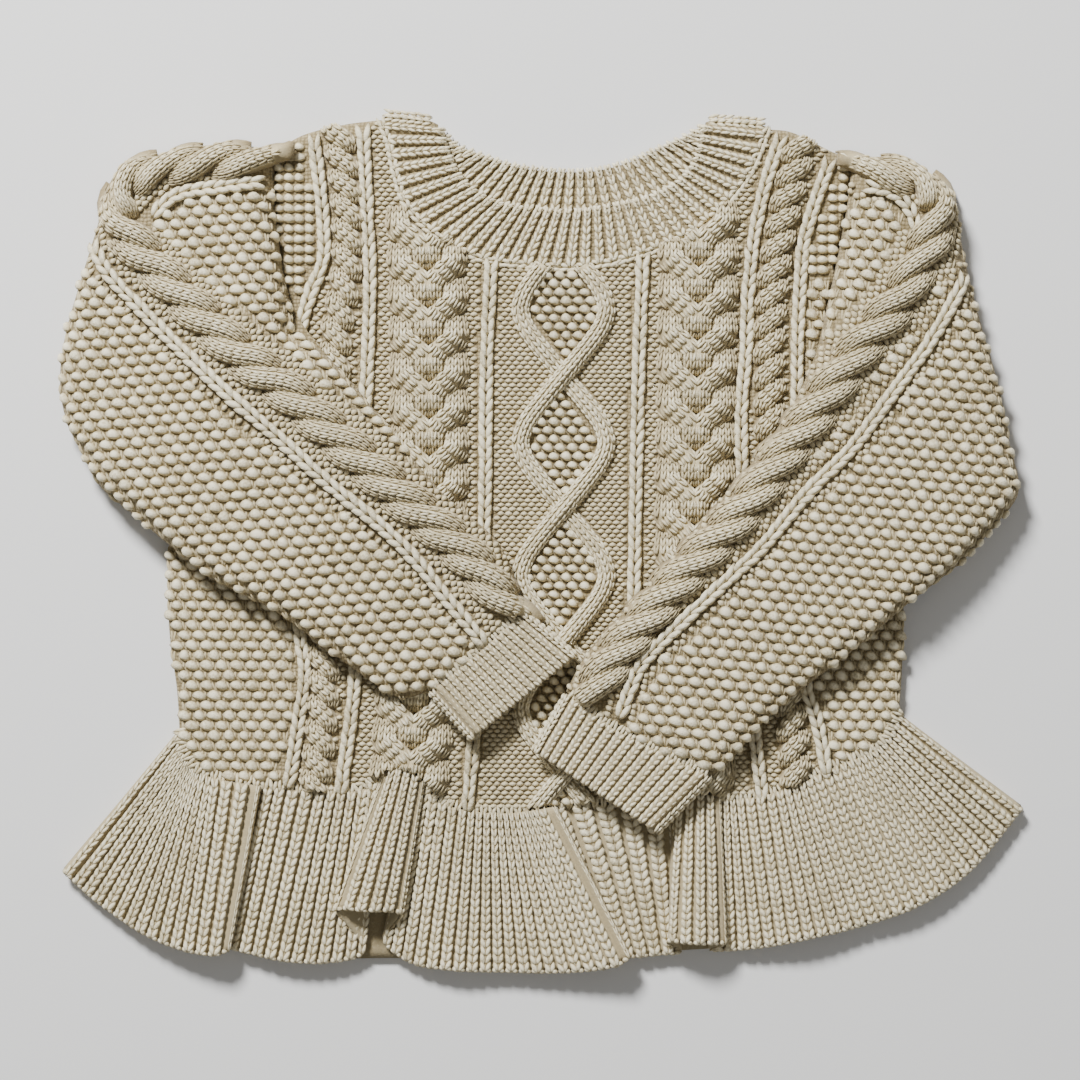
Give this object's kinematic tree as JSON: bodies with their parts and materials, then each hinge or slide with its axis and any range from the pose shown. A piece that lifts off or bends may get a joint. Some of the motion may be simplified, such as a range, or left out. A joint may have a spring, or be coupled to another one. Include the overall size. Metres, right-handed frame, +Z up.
{
  "type": "cable knit sweater",
  "caption": "Small child's cable knit pullover with puffed sleeves and a ribbed peplum hem, laid flat with the sleeves folded over the front.",
  "frame": {"origin": "on the ground, under the middle of the garment's bounding box", "axes": "+Z up from the ground to the front of the garment, +Y towards the neck, -Y towards the hem, +X towards the wearer's left side"},
  "size_m": [0.4128, 0.3686, 0.0251],
  "materials": {
    "knit_cotton": "matt, soft cotton yarn, cream with a light heather"
  },
  "bodies": {
    "root": {"back": "knit_cotton", "front": "knit_cotton", "neckband": "knit_cotton", "sleeve_right": "knit_cotton", "sleeve_left": "knit_cotton", "cuff_right": "knit_cotton", "cuff_left": "knit_cotton", "peplum_front": "knit_cotton", "peplum_back": "knit_cotton"}
  },
  "joints": []
}
